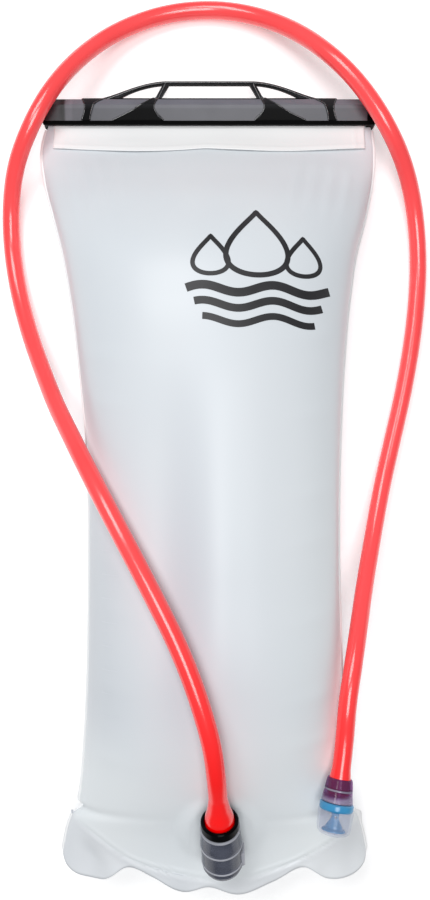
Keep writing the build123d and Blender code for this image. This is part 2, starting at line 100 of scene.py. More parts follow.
# --- film bag, in millimetres ---------------------------------------------------------------------
# y, centre x, half width, seam height, front rise, back drop, front and back roundness
SECTIONS = [
    (206.0, 0.0, 86.3, 13.4, 0.6, 0.6, 5.0, 5.0),
    (194.0, 0.0, 90.2, 13.4, 0.9, 0.9, 5.0, 5.0),
    (190.0, -0.4, 91.0, 13.6, 2.2, 2.2, 3.0, 3.0),
    (182.0, -0.8, 92.0, 14.5, 6.0, 6.0, 2.2, 2.2),
    (165.0, -0.4, 90.6, 17.0, 17.0, 13.0, 2.1, 2.1),
    (143.0, 0.2, 85.4, 22.0, 32.0, 21.5, 2.1, 2.2),
    (120.0, 0.3, 79.0, 27.5, 42.5, 28.3, 2.2, 2.4),
    (92.0, 0.8, 74.0, 31.5, 46.0, 33.0, 2.2, 2.6),
    (60.0, 1.4, 70.2, 35.0, 45.0, 37.0, 2.2, 2.6),
    (12.0, 2.5, 66.5, 38.0, 42.0, 40.0, 2.2, 2.6),
    (-50.0, 2.7, 65.9, 38.0, 42.0, 40.0, 2.2, 2.6),
    (-105.0, 3.2, 67.2, 37.0, 41.0, 38.5, 2.2, 2.5),
    (-140.0, 3.0, 69.0, 34.5, 36.5, 35.0, 2.1, 2.3),
    (-166.0, 3.0, 72.0, 31.0, 28.5, 27.0, 2.0, 2.0),
    (-190.0, 3.0, 79.5, 28.5, 18.0, 22.0, 1.9, 1.8),
    (-206.0, 3.0, 82.5, 28.0, 13.5, 21.0, 1.8, 1.7),
    (-223.0, 3.0, 83.5, 28.0, 12.5, 20.0, 1.8, 1.7),
]
HEM = [(-78, -203), (-74, -209.5), (-70.5, -212), (-55.5, -215), (-41.5, -207), (-29, -212), (-13, -220),
       (-0.5, -216.5), (14.5, -220.5), (33, -214.5), (49.5, -207), (62, -214.5), (77, -212.5),
       (81.5, -208), (84, -201)]
EAR_TOP = -178.5          # flat ears at the hem's corners start here
WELD_TOP_Y = 193.0        # span of the welded margins
WELD_FOOT_Y = -203.5
EARS = {-1: (73.2, 0.22), 1: (82.4, 0.055)}   # reach from the centre line and its growth downwards
GUSSET_LINE = [(-82, -178), (-66, -186), (-42, -202.5), (-15, -210.5), (3, -212.5), (22, -211),
               (43, -204.5), (72, -189), (88, -178)]
LIP_INSIDE_Y = 204.0      # the films end here, inside the slide bar
HEM_LEVEL = -215.0        # height that the hem's waves are measured from
HEM_START = -183.0        # the waves grow from here
PRINT_DROPS = [           # name, (centre x, centre y, height), half width of the printed line
    ("print_drop", (24.0, 118.0, 35.0), 1.35), ("print_drop_small", (47.5, 111.0, 20.0), 1.15),
    ("print_drop_left", (1.0, 111.0, 20.0), 1.15),
]
TICKS = 9
TICK_LEFT = -54.0         # fill ticks start here, and run down from the next height
TICK_TOP_Y = -24.0
TICK_SPACING = 12.0
TICK_LENGTHS = (9.0, 5.5)  # long and short, in turn
FLAP_EDGE = [(-87, 181.4), (-62, 179.2), (-38, 177.9), (-14, 178.8), (-3, 179.7), (10, 179.0),
             (43, 178.2), (66, 179.6), (87, 181.4)]
FLAP_HALF = 86.3
FLAP_START_Y = 194.5      # the flap leaves the slide bar here
FLAP_LOWEST = 14.3        # level of the closed lip, under which the flap doesn't go
FLAP_CREASES = (-79.5, 80.6, 87.6)
GUSSET_SPAN = (-74.5, 80.5)
GUSSET_ROWS = 22
FILM_THICKNESS = 0.0005   # metres, as are the cut sizes below
ROWS = 300                # points down and across each film
COLUMNS = 150

# --- slide bar, in millimetres: (x, height above the bar's foot) of the right-hand ribs -------------
BAR_FOOT_Y = 194.5
RIBS = {
    "loop": [(66.0, 2.2), (65.4, 5.5), (63.0, 11.0), (57.5, 14.6), (50.0, 17.6), (42.0, 20.6), (33.0, 23.1),
             (24.5, 24.25), (12.0, 24.3), (0.0, 24.3)],
    "band": [(70.4, 2.2), (68.5, 9.0), (70.3, 14.2)],
    "swoosh": [(53.4, 2.2), (40.0, 8.5), (32.4, 13.6), (29.0, 16.5)],
    "post": [(25.2, 2.2), (30.4, 8.5), (28.8, 14.2), (26.6, 19.0), (24.4, 23.6)],
}
RIB_RADIUS = 0.00045
RIB_LIFT = 0.0001
RIB_POINTS = 60


# --- material helpers -----------------------------------------------------------------------------
def principled(name, colour, roughness, **sockets):
    """Material, node tree and shader; the other sockets are set by name, with _ for a space."""
    material = bpy.data.materials.new(name)
    material.use_nodes = True
    tree = material.node_tree
    shader = tree.nodes["Principled BSDF"]
    shader.inputs["Base Color"].default_value = (*colour, 1.0)
    shader.inputs["Roughness"].default_value = roughness
    for socket, value in sockets.items():
        shader.inputs[socket.replace("_", " ")].default_value = value
    return material, tree, shader


def object_place(tree):
    """Object coordinates."""
    return tree.nodes.new("ShaderNodeTexCoord").outputs["Object"]


def noise_field(tree, scale, detail=3.0, stretch=(1, 1, 1)):
    """Noise value over the object, features about 1/scale metres."""
    mapping = tree.nodes.new("ShaderNodeMapping")
    mapping.inputs["Scale"].default_value = stretch
    tree.links.new(object_place(tree), mapping.inputs["Vector"])
    texture = tree.nodes.new("ShaderNodeTexNoise")
    texture.inputs["Scale"].default_value = scale
    texture.inputs["Detail"].default_value = detail
    tree.links.new(mapping.outputs["Vector"], texture.inputs["Vector"])
    return texture.outputs["Fac"]


def ramp(tree, factor, stops):
    """Colour ramp over (position, colour) stops."""
    node = tree.nodes.new("ShaderNodeValToRGB")
    elements = node.color_ramp.elements
    while len(elements) < len(stops):
        elements.new(0.5)
    for element, (position, colour) in zip(elements, stops):
        element.position = position
        element.color = (*colour, 1.0)
    tree.links.new(factor, node.inputs["Fac"])
    return node.outputs["Color"]


def mix_colours(tree, factor, first, second, blend="MIX"):
    """Mixes two colours, each a socket or three numbers."""
    node = tree.nodes.new("ShaderNodeMix")
    node.data_type = "RGBA"
    node.blend_type = blend
    for index, value in ((0, factor), (6, first), (7, second)):
        if isinstance(value, (int, float)):
            node.inputs[index].default_value = value
        elif isinstance(value, tuple):
            node.inputs[index].default_value = (*value, 1.0)
        else:
            tree.links.new(value, node.inputs[index])
    return node.outputs[2]


def bump(tree, shader, height, strength, distance):
    """Bump from a height socket."""
    node = tree.nodes.new("ShaderNodeBump")
    node.inputs["Strength"].default_value = strength
    node.inputs["Distance"].default_value = distance
    tree.links.new(height, node.inputs["Height"])
    tree.links.new(node.outputs["Normal"], shader.inputs["Normal"])


def mottled(tree, shader, scale, dark, light, grain_scale, grain):
    """Slow colour change from dark to light, with fine moulding grain."""
    slow = noise_field(tree, scale)
    colour = ramp(tree, slow, [(0.3, dark), (0.7, light)])
    tree.links.new(colour, shader.inputs["Base Color"])
    bump(tree, shader, noise_field(tree, grain_scale, 2.0), grain, 0.0002)


def see_through(tree, shader, tint, share):
    """Lets a share of the light straight through, tinted."""
    clear = tree.nodes.new("ShaderNodeBsdfTransparent")
    clear.inputs["Color"].default_value = (*tint, 1.0)
    mix = tree.nodes.new("ShaderNodeMixShader")
    mix.inputs["Fac"].default_value = share
    tree.links.new(shader.outputs["BSDF"], mix.inputs[1])
    tree.links.new(clear.outputs["BSDF"], mix.inputs[2])
    output = tree.nodes["Material Output"]
    tree.links.new(mix.outputs["Shader"], output.inputs["Surface"])


# --- materials ------------------------------------------------------------------------------------
def film_material(name, tone, with_painted_shading=True):
    """Frosted milky film: slow cool clouding, painted shade and light per point, fine frosted grain."""
    material, tree, shader = principled(name, tone, 0.36, Specular_IOR_Level=0.35)
    cool = tuple(c * k for c, k in zip(tone, (0.955, 0.965, 0.975)))
    colour = ramp(tree, noise_field(tree, 14.0, 2.0, (1.0, 0.35, 1.0)), [(0.35, cool), (0.65, tone)])
    if with_painted_shading:
        # painted shade and light, read from the mesh's points
        painted_shading = tree.nodes.new("ShaderNodeAttribute")
        painted_shading.attribute_name = "painted_shading"
        colour = mix_colours(tree, 1.0, colour, painted_shading.outputs["Color"], "MULTIPLY")
    tree.links.new(colour, shader.inputs["Base Color"])
    bump(tree, shader, noise_field(tree, 2600.0, 2.0), 0.12, 0.0001)
    return material


def hose_material():
    """Glossy translucent red tube with a weak painted red glow, and painted shade as a deeper red near the
    port.
    """
    coral = (1.0, 0.085, 0.090)
    red = (1.0, 0.0, 0.0)
    # painted glow: a weak red emission on the tube, which is no lamp
    material, tree, shader = principled("hose_red", coral, 0.20, Specular_IOR_Level=0.55,
                                        Coat_Weight=0.5, Coat_Roughness=0.16, Emission_Strength=0.10)
    shader.inputs["Emission Color"].default_value = (1.0, 0.0, 0.0, 1.0)
    # painted shade: deeper red within about 3 to 12 cm of the port
    away = tree.nodes.new("ShaderNodeVectorMath")
    away.operation = "DISTANCE"
    away.inputs[1].default_value = PORT_TOP
    tree.links.new(object_place(tree), away.inputs[0])
    reach = tree.nodes.new("ShaderNodeMapRange")
    reach.inputs["From Min"].default_value = 0.03
    reach.inputs["From Max"].default_value = 0.12
    tree.links.new(away.outputs["Value"], reach.inputs["Value"])
    colour = ramp(tree, reach.outputs["Result"], [(0.0, red), (1.0, coral)])
    cloud = ramp(tree, noise_field(tree, 30.0, 2.0), [(0.35, (0.93, 0.88, 0.88)), (0.65, (1.0, 1.0, 1.0))])
    tree.links.new(mix_colours(tree, 1.0, colour, cloud, "MULTIPLY"), shader.inputs["Base Color"])
    bump(tree, shader, noise_field(tree, 160.0, 1.0), 0.08, 0.0004)
    return material


def plastic(name, dark, light, roughness, grain=0.10, **sockets):
    """Moulded plastic or rubber with slow colour change and fine grain."""
    material, tree, shader = principled(name, light, roughness, **sockets)
    mottled(tree, shader, 60.0, dark, light, 1800.0, grain)
    return material


def clear_plastic(name, dark, light, roughness, tint, share):
    """Clear moulding that passes a share of the light."""
    material, tree, shader = principled(name, light, roughness, Specular_IOR_Level=0.7)
    mottled(tree, shader, 90.0, dark, light, 1500.0, 0.08)
    see_through(tree, shader, tint, share)
    return material


def shade_along(tree, shader, axis, stops):
    """Multiplies the base colour by a factor along an object axis, given as (metres, factor) stops."""
    low, high = stops[0][0], stops[-1][0]
    place = tree.nodes.new("ShaderNodeSeparateXYZ")
    tree.links.new(object_place(tree), place.inputs[0])
    reach = tree.nodes.new("ShaderNodeMapRange")
    reach.inputs["From Min"].default_value = low
    reach.inputs["From Max"].default_value = high
    tree.links.new(place.outputs[axis], reach.inputs["Value"])
    factor = ramp(tree, reach.outputs["Result"], [((at - low) / (high - low), (k, k, k)) for at, k in stops])
    colour = shader.inputs["Base Color"].links[0].from_socket
    tree.links.new(mix_colours(tree, 1.0, colour, factor, "MULTIPLY"), shader.inputs["Base Color"])


def bar_plastic():
    """Grey channel: painted light makes it lighter above its ridge, and painted reflections make the darker
    and lighter bands of its closed left end.
    """
    material, tree, shader = principled("bar_grey", (0.12, 0.12, 0.14), 0.32, Specular_IOR_Level=0.28)
    mottled(tree, shader, 60.0, (0.145, 0.145, 0.17), (0.175, 0.175, 0.205), 1800.0, 0.06)
    # painted light: the facet above the ridge lighter, the one below darker
    shade_along(tree, shader, "Y", [(0.2025, 0.50), (0.2032, 0.66), (0.2045, 0.66), (0.2050, 1.0)])
    # painted reflections: darker and lighter bands across the rounded left end, darkest at its tip
    shade_along(tree, shader, "X", [(-0.092, 0.18), (-0.0835, 0.45), (-0.0815, 0.12), (-0.0802, 0.16),
                                    (-0.0790, 1.3), (-0.0762, 1.3), (-0.0750, 1.0)])
    return material


def overmould_rubber():
    """Black overmould: deep black low on the bar, a little greyer towards its top edge, which is painted
    light on the upper facet.
    """
    material, tree, shader = principled("overmould_black", (0.006, 0.006, 0.007), 0.34,
                                        Specular_IOR_Level=0.03)
    mottled(tree, shader, 60.0, (0.022, 0.022, 0.025), (0.034, 0.034, 0.038), 1800.0, 0.10)
    # painted light: greyer upwards towards the bar's top edge, dimmer again at the very top
    shade_along(tree, shader, "Y", [(0.196, 0.06), (0.202, 0.10), (0.205, 0.55), (0.2105, 1.0), (0.216, 0.5)])
    return material


def sleeve_material():
    """Tinted clear sleeve: purple where it lies over the hose, clearer over the barb's flange."""
    material, tree, shader = principled("sleeve_clear", (0.12, 0.08, 0.15), 0.10, Specular_IOR_Level=0.7)
    place = tree.nodes.new("ShaderNodeSeparateXYZ")
    tree.links.new(object_place(tree), place.inputs[0])
    reach = tree.nodes.new("ShaderNodeMapRange")
    reach.inputs["From Min"].default_value = SLEEVE_CLEAR_Y
    reach.inputs["From Max"].default_value = SLEEVE_TINTED_Y
    tree.links.new(place.outputs["Y"], reach.inputs["Value"])
    base = ramp(tree, reach.outputs["Result"], [(0.0, (0.36, 0.34, 0.42)), (1.0, (0.19, 0.055, 0.17))])
    cloud = ramp(tree, noise_field(tree, 90.0), [(0.3, (0.88, 0.88, 0.90)), (0.7, (1.0, 1.0, 1.0))])
    tree.links.new(mix_colours(tree, 1.0, base, cloud, "MULTIPLY"), shader.inputs["Base Color"])
    bump(tree, shader, noise_field(tree, 1500.0, 2.0), 0.08, 0.0002)
    see_through(tree, shader, (1.0, 1.0, 1.0), 0.62)
    tint = ramp(tree, reach.outputs["Result"], [(0.0, (0.95, 0.90, 1.0)), (1.0, (0.60, 0.34, 0.66))])
    clear = next(node for node in tree.nodes if node.bl_idname == "ShaderNodeBsdfTransparent")
    tree.links.new(tint, clear.inputs["Color"])
    return material


def make_materials():
    """Every material by the record's slot name, and the ones that only Blender has."""
    return {
        "film": film_material("film_front", (0.695, 0.730, 0.762)),
        "inner_film": film_material("film_gusset", (0.70, 0.73, 0.77), False),
        "flap": film_material("film_flap", (0.88, 0.885, 0.885), False),
        "rail": plastic("rail_white", (0.70, 0.70, 0.70), (0.80, 0.80, 0.80), 0.4),
        "grey_plastic": bar_plastic(),
        "soft_black": overmould_rubber(),
        "rib_black": plastic("rib_black", (0.016, 0.016, 0.018), (0.03, 0.03, 0.034), 0.22, 0.05,
                             Specular_IOR_Level=0.8),
        "flange": film_material("flange_white", (0.74, 0.76, 0.80), False),
        "smoky_plastic": clear_plastic("port_smoky", (0.045, 0.052, 0.078), (0.10, 0.11, 0.15), 0.16,
                                       (0.62, 0.66, 0.78), 0.25),
        "port_ring": plastic("port_ring_pale", (0.30, 0.31, 0.35), (0.42, 0.43, 0.48), 0.22),
        "button": plastic("button_grey", (0.30, 0.31, 0.36), (0.40, 0.41, 0.46), 0.25),
        "white_plastic": plastic("plug_white", (0.70, 0.70, 0.69), (0.80, 0.80, 0.79), 0.35),
        "spring_steel": plastic("spring_steel", (0.55, 0.55, 0.56), (0.66, 0.66, 0.67), 0.28, 0.05,
                                Metallic=1.0),
        "seal_rubber": plastic("seal_black", (0.010, 0.010, 0.011), (0.020, 0.020, 0.022), 0.45),
        "collar": plastic("collar_black", (0.001, 0.001, 0.001), (0.003, 0.003, 0.004), 0.18, 0.05,
                          Specular_IOR_Level=0.04),
        "red_hose": hose_material(),
        "clear_plastic": sleeve_material(),
        # pale rib: painted highlight along the sleeve's groove
        "sleeve_rib": clear_plastic("sleeve_rib_clear", (0.34, 0.31, 0.40), (0.44, 0.41, 0.50), 0.12,
                                    (0.62, 0.55, 0.72), 0.45),
        "barb": plastic("barb_lilac", (0.62, 0.55, 0.66), (0.74, 0.68, 0.78), 0.25, 0.05),
        "blue_plastic": plastic("valve_blue", (0.035, 0.25, 0.50), (0.06, 0.32, 0.58), 0.20, 0.05),
        "clear_silicone": clear_plastic("mouthpiece_clear", (0.52, 0.54, 0.61), (0.62, 0.64, 0.71), 0.14,
                                        (0.96, 0.965, 0.99), 0.86),
        "print": plastic("print_charcoal", (0.010, 0.010, 0.012), (0.022, 0.022, 0.025), 0.5),
        "ticks": film_material("tick_grey", (0.68, 0.71, 0.75), False),
    }


# --- mesh helpers ---------------------------------------------------------------------------------
def new_object(name, vertices, faces, material, sharp=None):
    """Smooth-shaded mesh object, with edges sharper than the angle kept crisp."""
    mesh = bpy.data.meshes.new(name)
    mesh.from_pydata([tuple(v) for v in vertices], [], faces)
    mesh.validate()
    mesh.shade_smooth()
    if sharp is not None:
        mesh.set_sharp_from_angle(angle=math.radians(sharp))
    mesh.materials.append(material)
    piece = bpy.data.objects.new(name, mesh)
    bpy.context.scene.collection.objects.link(piece)
    return piece


def grid_faces(rows, columns, closed=False):
    """Quads of a grid of points, row by row; closed joins the last column to the first."""
    faces = []
    for row in range(rows - 1):
        for column in range(columns if closed else columns - 1):
            after = (column + 1) % columns
            faces.append((row * columns + column, row * columns + after,
                          (row + 1) * columns + after, (row + 1) * columns + column))
    return faces


def thicken(piece, thickness, offset=-1.0):
    """Gives a sheet its thickness."""
    solid = piece.modifiers.new("thickness", "SOLIDIFY")
    solid.thickness = thickness
    solid.offset = offset


def axis_place(foot, top):
    """Frame on an axis: X level and across it, Z from foot to top."""
    along = (top - foot).normalized()
    across = Vector((along.y, -along.x, 0)).normalized()
    third = along.cross(across)
    turn = Matrix((across, third, along)).transposed().to_4x4()
    return Matrix.Translation(foot) @ turn


def lathe(name, profile, place, material, steps=96, sharp=35):
    """Closed turned piece from (radius, distance along the axis) points in millimetres."""
    vertices = []
    for radius, along in profile:
        for step in range(steps):
            angle = 2 * math.pi * step / steps
            point = Vector((radius * math.cos(angle), radius * math.sin(angle), along)) * MM
            vertices.append(place @ point)
    rows = len(profile)
    faces = grid_faces(rows, steps, closed=True)
    faces += [(((rows - 1) * steps) + s, (rows - 1) * steps + (s + 1) % steps, (s + 1) % steps, s)
              for s in range(steps)]
    return new_object(name, vertices, faces, material, sharp)


def smooth_curve(points, count):
    """Evenly spaced points on a smooth curve through the given (x, y) points."""
    points = np.array(points, float)
    runs = np.linalg.norm(np.diff(points, axis=0), axis=1)
    knots = np.concatenate([[0], np.cumsum(runs)])
    wanted = np.linspace(0, knots[-1], count)
    return np.stack([hermite(knots, points[:, k], wanted) for k in range(points.shape[1])], axis=1)


def hermite(knots, values, wanted):
    """Smooth curve through values at rising knots, without overshoot at sudden steps."""
    knots = np.asarray(knots, float)
    values = np.asarray(values, float)
    slopes = np.gradient(values, knots)
    index = np.clip(np.searchsorted(knots, wanted, side="right") - 1, 0, len(knots) - 2)
    span = knots[index + 1] - knots[index]
    t = np.clip((wanted - knots[index]) / span, 0, 1)
    return ((2 * t**3 - 3 * t**2 + 1) * values[index] + (t**3 - 2 * t**2 + t) * span * slopes[index]
            + (3 * t**2 - 2 * t**3) * values[index + 1] + (t**3 - t**2) * span * slopes[index + 1])


def smoothstep(low, high, value):
    """0 below low, 1 above high."""
    t = np.clip((value - low) / (high - low), 0, 1)
    return t * t * (3 - 2 * t)


# --- hose -----------------------------------------------------------------------------------------
def along_axis(foot, top, distance):
    """Point at a distance along an axis."""
    return foot + (top - foot).normalized() * distance


def nurbs_line(name, points):
    """Points along the NURBS spline whose control points are the route."""
    curve = bpy.data.curves.new(name, "CURVE")
    curve.dimensions = "3D"
    spline = curve.splines.new("NURBS")
    spline.points.add(len(points) - 1)
    for control, point in zip(spline.points, points):
        control.co = (*point, 1.0)
    spline.order_u = 3
    spline.use_endpoint_u = True
    spline.resolution_u = 10
    holder = bpy.data.objects.new(name, curve)
    bpy.context.scene.collection.objects.link(holder)
    mesh = bpy.data.meshes.new_from_object(holder)
    line = [vertex.co.copy() for vertex in mesh.vertices]
    bpy.data.objects.remove(holder)
    bpy.data.curves.remove(curve)
    bpy.data.meshes.remove(mesh)
    return line


def tube_rings(line, radii, steps, side):
    """Rings of points round a line, with the seam carried along without twist."""
    rings = []
    for index, point in enumerate(line):
        before = line[max(index - 1, 0)]
        after = line[min(index + 1, len(line) - 1)]
        heading = (after - before).normalized()
        side = (side - heading * side.dot(heading)).normalized()
        other = heading.cross(side)
        for step in range(steps):
            angle = 2 * math.pi * step / steps
            rings.append(point + (side * math.cos(angle) + other * math.sin(angle)) * radii[index])
    return rings


def solid_rod(name, line, radius, material, steps=12):
    """Round rod along a line, closed at both ends."""
    vertices = tube_rings(line, [radius] * len(line), steps, Vector((0, 0, 1)))
    faces = grid_faces(len(line), steps, closed=True)
    faces.append(tuple(reversed(range(steps))))
    faces.append(tuple(range((len(line) - 1) * steps, len(line) * steps)))
    return new_object(name, vertices, faces, material, 50)


def hose(material):
    """Hollow tube on the route, with its ends stretched over the plug's barb and the bite valve's."""
    route = [along_axis(PORT_FOOT, PORT_TOP, FLARE_START), along_axis(PORT_FOOT, PORT_TOP, FLARE_MIDDLE),
             along_axis(PORT_FOOT, PORT_TOP, FLARE_END)]
    route += [Vector(point) * MM for point in ROUTE]
    route.append(along_axis(VALVE_TOP, VALVE_END, VALVE_HOSE_END))
    line = nurbs_line("hose_route", route)
    runs = [0.0]
    for before, after in zip(line, line[1:]):
        runs.append(runs[-1] + (after - before).length)
    whole = runs[-1]
    outer = [max(float(np.interp(run, *zip(*FLARE))), float(np.interp(whole - run, *zip(*VALVE_FLARE))))
             for run in runs]
    inner = [r - (HOSE_RADIUS - BORE_RADIUS) for r in outer]
    steps = TUBE_STEPS
    side = Vector((1, 0, 0))
    vertices = tube_rings(line, outer, steps, side) + tube_rings(line[::-1], inner[::-1], steps, -side)
    rings = 2 * len(line)
    faces = grid_faces(rings, steps, closed=True)
    faces += [((rings - 1) * steps + s, (rings - 1) * steps + (s + 1) % steps, (s + 1) % steps, s)
              for s in range(steps)]
    tube = new_object("red_hose_tube", vertices, faces, material, 60)
    return tube, line


# --- bag ------------------------------------------------------------------------------------------
SECTION_LEVELS = np.arange(-224.0, 206.5, 0.5)
SECTION_TABLE = {
    key: hermite([s[0] for s in reversed(SECTIONS)], [s[k + 1] for s in reversed(SECTIONS)], SECTION_LEVELS)
    for k, key in enumerate(("centre", "half", "seam", "rise", "drop", "front_power", "back_power"))
}


def section_value(key, y):
    """One section value at heights y, in millimetres."""
    return np.interp(y, SECTION_LEVELS, SECTION_TABLE[key])


def half_width(y):
    """Half width of the film, nipped in a little above the hem's ears."""
    above = np.asarray(y) - EAR_TOP
    nip = 3.6 * np.exp(-((above - 1.3) / 2.4) ** 2) + 1.0 * np.exp(-((above - 4.5) / 8.0) ** 2)
    return section_value("half", y) - nip


def gauss(x, y, centre_x, centre_y, wide, tall):
    """Soft round bump of height 1."""
    return np.exp(-((x - centre_x) / wide) ** 2 - ((y - centre_y) / tall) ** 2)


def distance_to_line(x, y, line):
    """Distance from each point to the nearest of a line's points, and how far it lies below the line."""
    best = np.full(x.shape, 1e9)
    for px, py in line:
        best = np.minimum(best, np.hypot(x - px, y - py))
    level = np.interp(x, line[:, 0], line[:, 1])
    return best, level - y


def front_relief(x, y, across):
    """Wrinkles, dents and welds of the front film, in millimetres outwards."""
    edge = 1 - smoothstep(0.80, 1.0, np.abs(across))
    relief = 0.9 * np.sin(x / 15.0 + 0.6 * np.sin(y / 60.0)) * gauss(x, y, -10, -60, 60, 130)
    relief -= 1.6 * gauss(x, y, -20, -70, 11, 110)
    relief += 1.1 * gauss(x, y, 4, -60, 10, 100)
    for side in (-1, 1):
        for step in range(5):
            lean = side * (52 + 9 * step)
            start = 182 - 2.5 * step
            along = (start - y) / 46.0
            crease = np.exp(-((x - lean + side * 11 * along) / 2.6) ** 2)
            relief += 0.55 * crease * smoothstep(0.02, 0.3, along) * (1 - smoothstep(0.55, 1.1, along))
        for step in range(7):
            level = 60 - 34 * step + 6 * math.sin(step * 2.1 + side)
            relief += 0.45 * gauss(x, y - side * x * 0.12, side * 60, level, 16, 4.5)
    weld = smooth_curve(GUSSET_LINE, 160)
    near, below = distance_to_line(x, y, weld)
    relief += 0.55 * np.exp(-((near - 1.6) / 0.7) ** 2) - 0.7 * np.exp(-(near / 0.9) ** 2)
    skirt = smoothstep(2.0, 16.0, below)
    relief += skirt * (1.5 * np.sin(x / 7.4 + 0.8) + 0.9 * np.sin(x / 3.9 + 2.0))
    return relief * edge


def over_flange(x, y, z):
    """Film height with the port's flange pushing it up from inside."""
    place = axis_place(PORT_FOOT, PORT_TOP)
    centre = place @ (Vector((0, FLANGE_DEPTH, FLANGE_ALONG)) * MM) / MM
    normal = -(place.to_3x3() @ Vector((0, 1, 0)))
    plane = centre.z + FLANGE_COVER - ((x - centre.x) * normal.x + (y - centre.y) * normal.y) / normal.z
    away = np.hypot(x - centre.x, y - centre.y)
    inside = 1 - smoothstep(16.5, 25.0, away)
    step = 0.25 * np.exp(-((away - 17.5) / 0.9) ** 2)
    return z * (1 - inside) + plane * inside + step


def bag_grid(rows, columns, side):
    """Points of the front (side 1) or back (side -1) film, in millimetres, from lip to hem."""
    angle = np.linspace(math.pi, 0, columns)
    level = np.linspace(LIP_INSIDE_Y, HEM_LEVEL, rows)
    hem = smooth_curve(HEM, 400)
    cos, sin = np.cos(angle)[None, :], np.sin(angle)[None, :]
    y = np.repeat(level[:, None], columns, axis=1)
    rough_x = 3.0 + 80.5 * np.sign(cos) * np.abs(cos) ** (2 / 1.8)
    wave = np.interp(rough_x, hem[:, 0], hem[:, 1]) - HEM_LEVEL
    y = y + wave * smoothstep(0, HEM_START - HEM_LEVEL, HEM_START - y)
    power = section_value("front_power" if side > 0 else "back_power", y)
    across = np.sign(cos) * np.abs(cos) ** (2 / power)
    up = np.round(sin, 9) ** (2 / power)
    x = section_value("centre", y) + half_width(y) * across
    if side > 0:
        z = section_value("seam", y) + section_value("rise", y) * up
        z = over_flange(x, y, z + front_relief(x, y, across))
    else:
        z = section_value("seam", y) - section_value("drop", y) * up
        near, _ = distance_to_line(x, y, smooth_curve(GUSSET_LINE, 160))
        z = z - 0.5 * np.exp(-((near - 1.6) / 0.8) ** 2) * (z > 2)
        z = np.maximum(z, 0.05)
    return np.stack([x, y, z], axis=-1)


def painted_film_shading(x, y, side):
    """Colour factor of the front film at each point, painted shade and light: painted shade over the middle
    fold and down the lower left, painted light on the upper right and towards the hem, darker and a touch
    warmer below the gusset weld; 1 on the back film.
    """
    # painted shade: a soft darker smear over the middle fold, beside the hose
    grey = 1.0 - 0.12 * gauss(x, y, -11, -63, 15, 95)
    # painted shade down the lower left side
    grey = grey - 0.07 * smoothstep(-25, -62, x) * smoothstep(60, -60, y) * smoothstep(-160, -110, y)
    # painted light on the upper right
    grey = grey + 0.07 * smoothstep(20, 60, x) * smoothstep(150, -40, y)
    # painted light towards the hem
    grey = grey + 0.13 * smoothstep(-110, -160, y)
    # darker and a touch warmer below the gusset weld
    _, below = distance_to_line(x, y, smooth_curve(GUSSET_LINE, 160))
    skirt = smoothstep(-1.0, 1.5, below)
    grey = grey - 0.09 * skirt
    warm = 1.0 + 0.012 * skirt
    if side < 0:
        grey = np.ones(x.shape)
    return np.stack([grey * warm, grey * (1 + 0.004 * (1 - grey)), grey ** 0.85, np.ones(x.shape)], axis=-1)


def store_painted_shading(piece, colours):
    """Stores the painted shade and light on the mesh's points."""
    layer = piece.data.attributes.new("painted_shading", "FLOAT_COLOR", "POINT")
    layer.data.foreach_set("color", colours.astype(np.float32).ravel())


def bag_films(materials):
    """Front and back film as two sheets, thickened inwards."""
    films = []
    for name, side, inward in (("front_film_sheet", 1, 1.0), ("back_film_sheet", -1, -1.0)):
        points = bag_grid(ROWS, COLUMNS, side)
        faces = grid_faces(ROWS, COLUMNS)
        film = new_object(name, points.reshape(-1, 3) * MM, faces, materials["film"])
        store_painted_shading(film, painted_film_shading(points[..., 0], points[..., 1], side))
        thicken(film, FILM_THICKNESS, inward)
        films.append(film)
    return films


def bulge(across, power):
    """Height of a rounded section, from 1 in the middle to 0 at its edge."""
    return max(1 - across ** power, 0) ** (1 / power)


def gusset(materials):
    """Bottom wall between the two films, bellied down a little between its welds."""
    line = smooth_curve(GUSSET_LINE, 90)
    line = line[(line[:, 0] > GUSSET_SPAN[0]) & (line[:, 0] < GUSSET_SPAN[1])]
    rows = GUSSET_ROWS
    vertices = []
    for row in range(rows):
        t = row / (rows - 1)
        for x, y in line:
            across = min(abs(x - section_value("centre", y)) / half_width(y), 1)
            front_up = bulge(across, section_value("front_power", y))
            back_up = bulge(across, section_value("back_power", y))
            top = section_value("seam", y) + section_value("rise", y) * front_up - 0.8
            bottom = section_value("seam", y) - section_value("drop", y) * back_up + 0.6
            belly = 2.2 * math.sin(math.pi * t) * (0.6 + 0.4 * math.sin(x / 6.0))
            vertices.append(Vector((x, y + belly, bottom + (top - bottom) * t)) * MM)
    piece = new_object("bottom_gusset_sheet", vertices, grid_faces(rows, len(line)), materials["inner_film"])
    thicken(piece, FILM_THICKNESS, 0.0)
    return piece


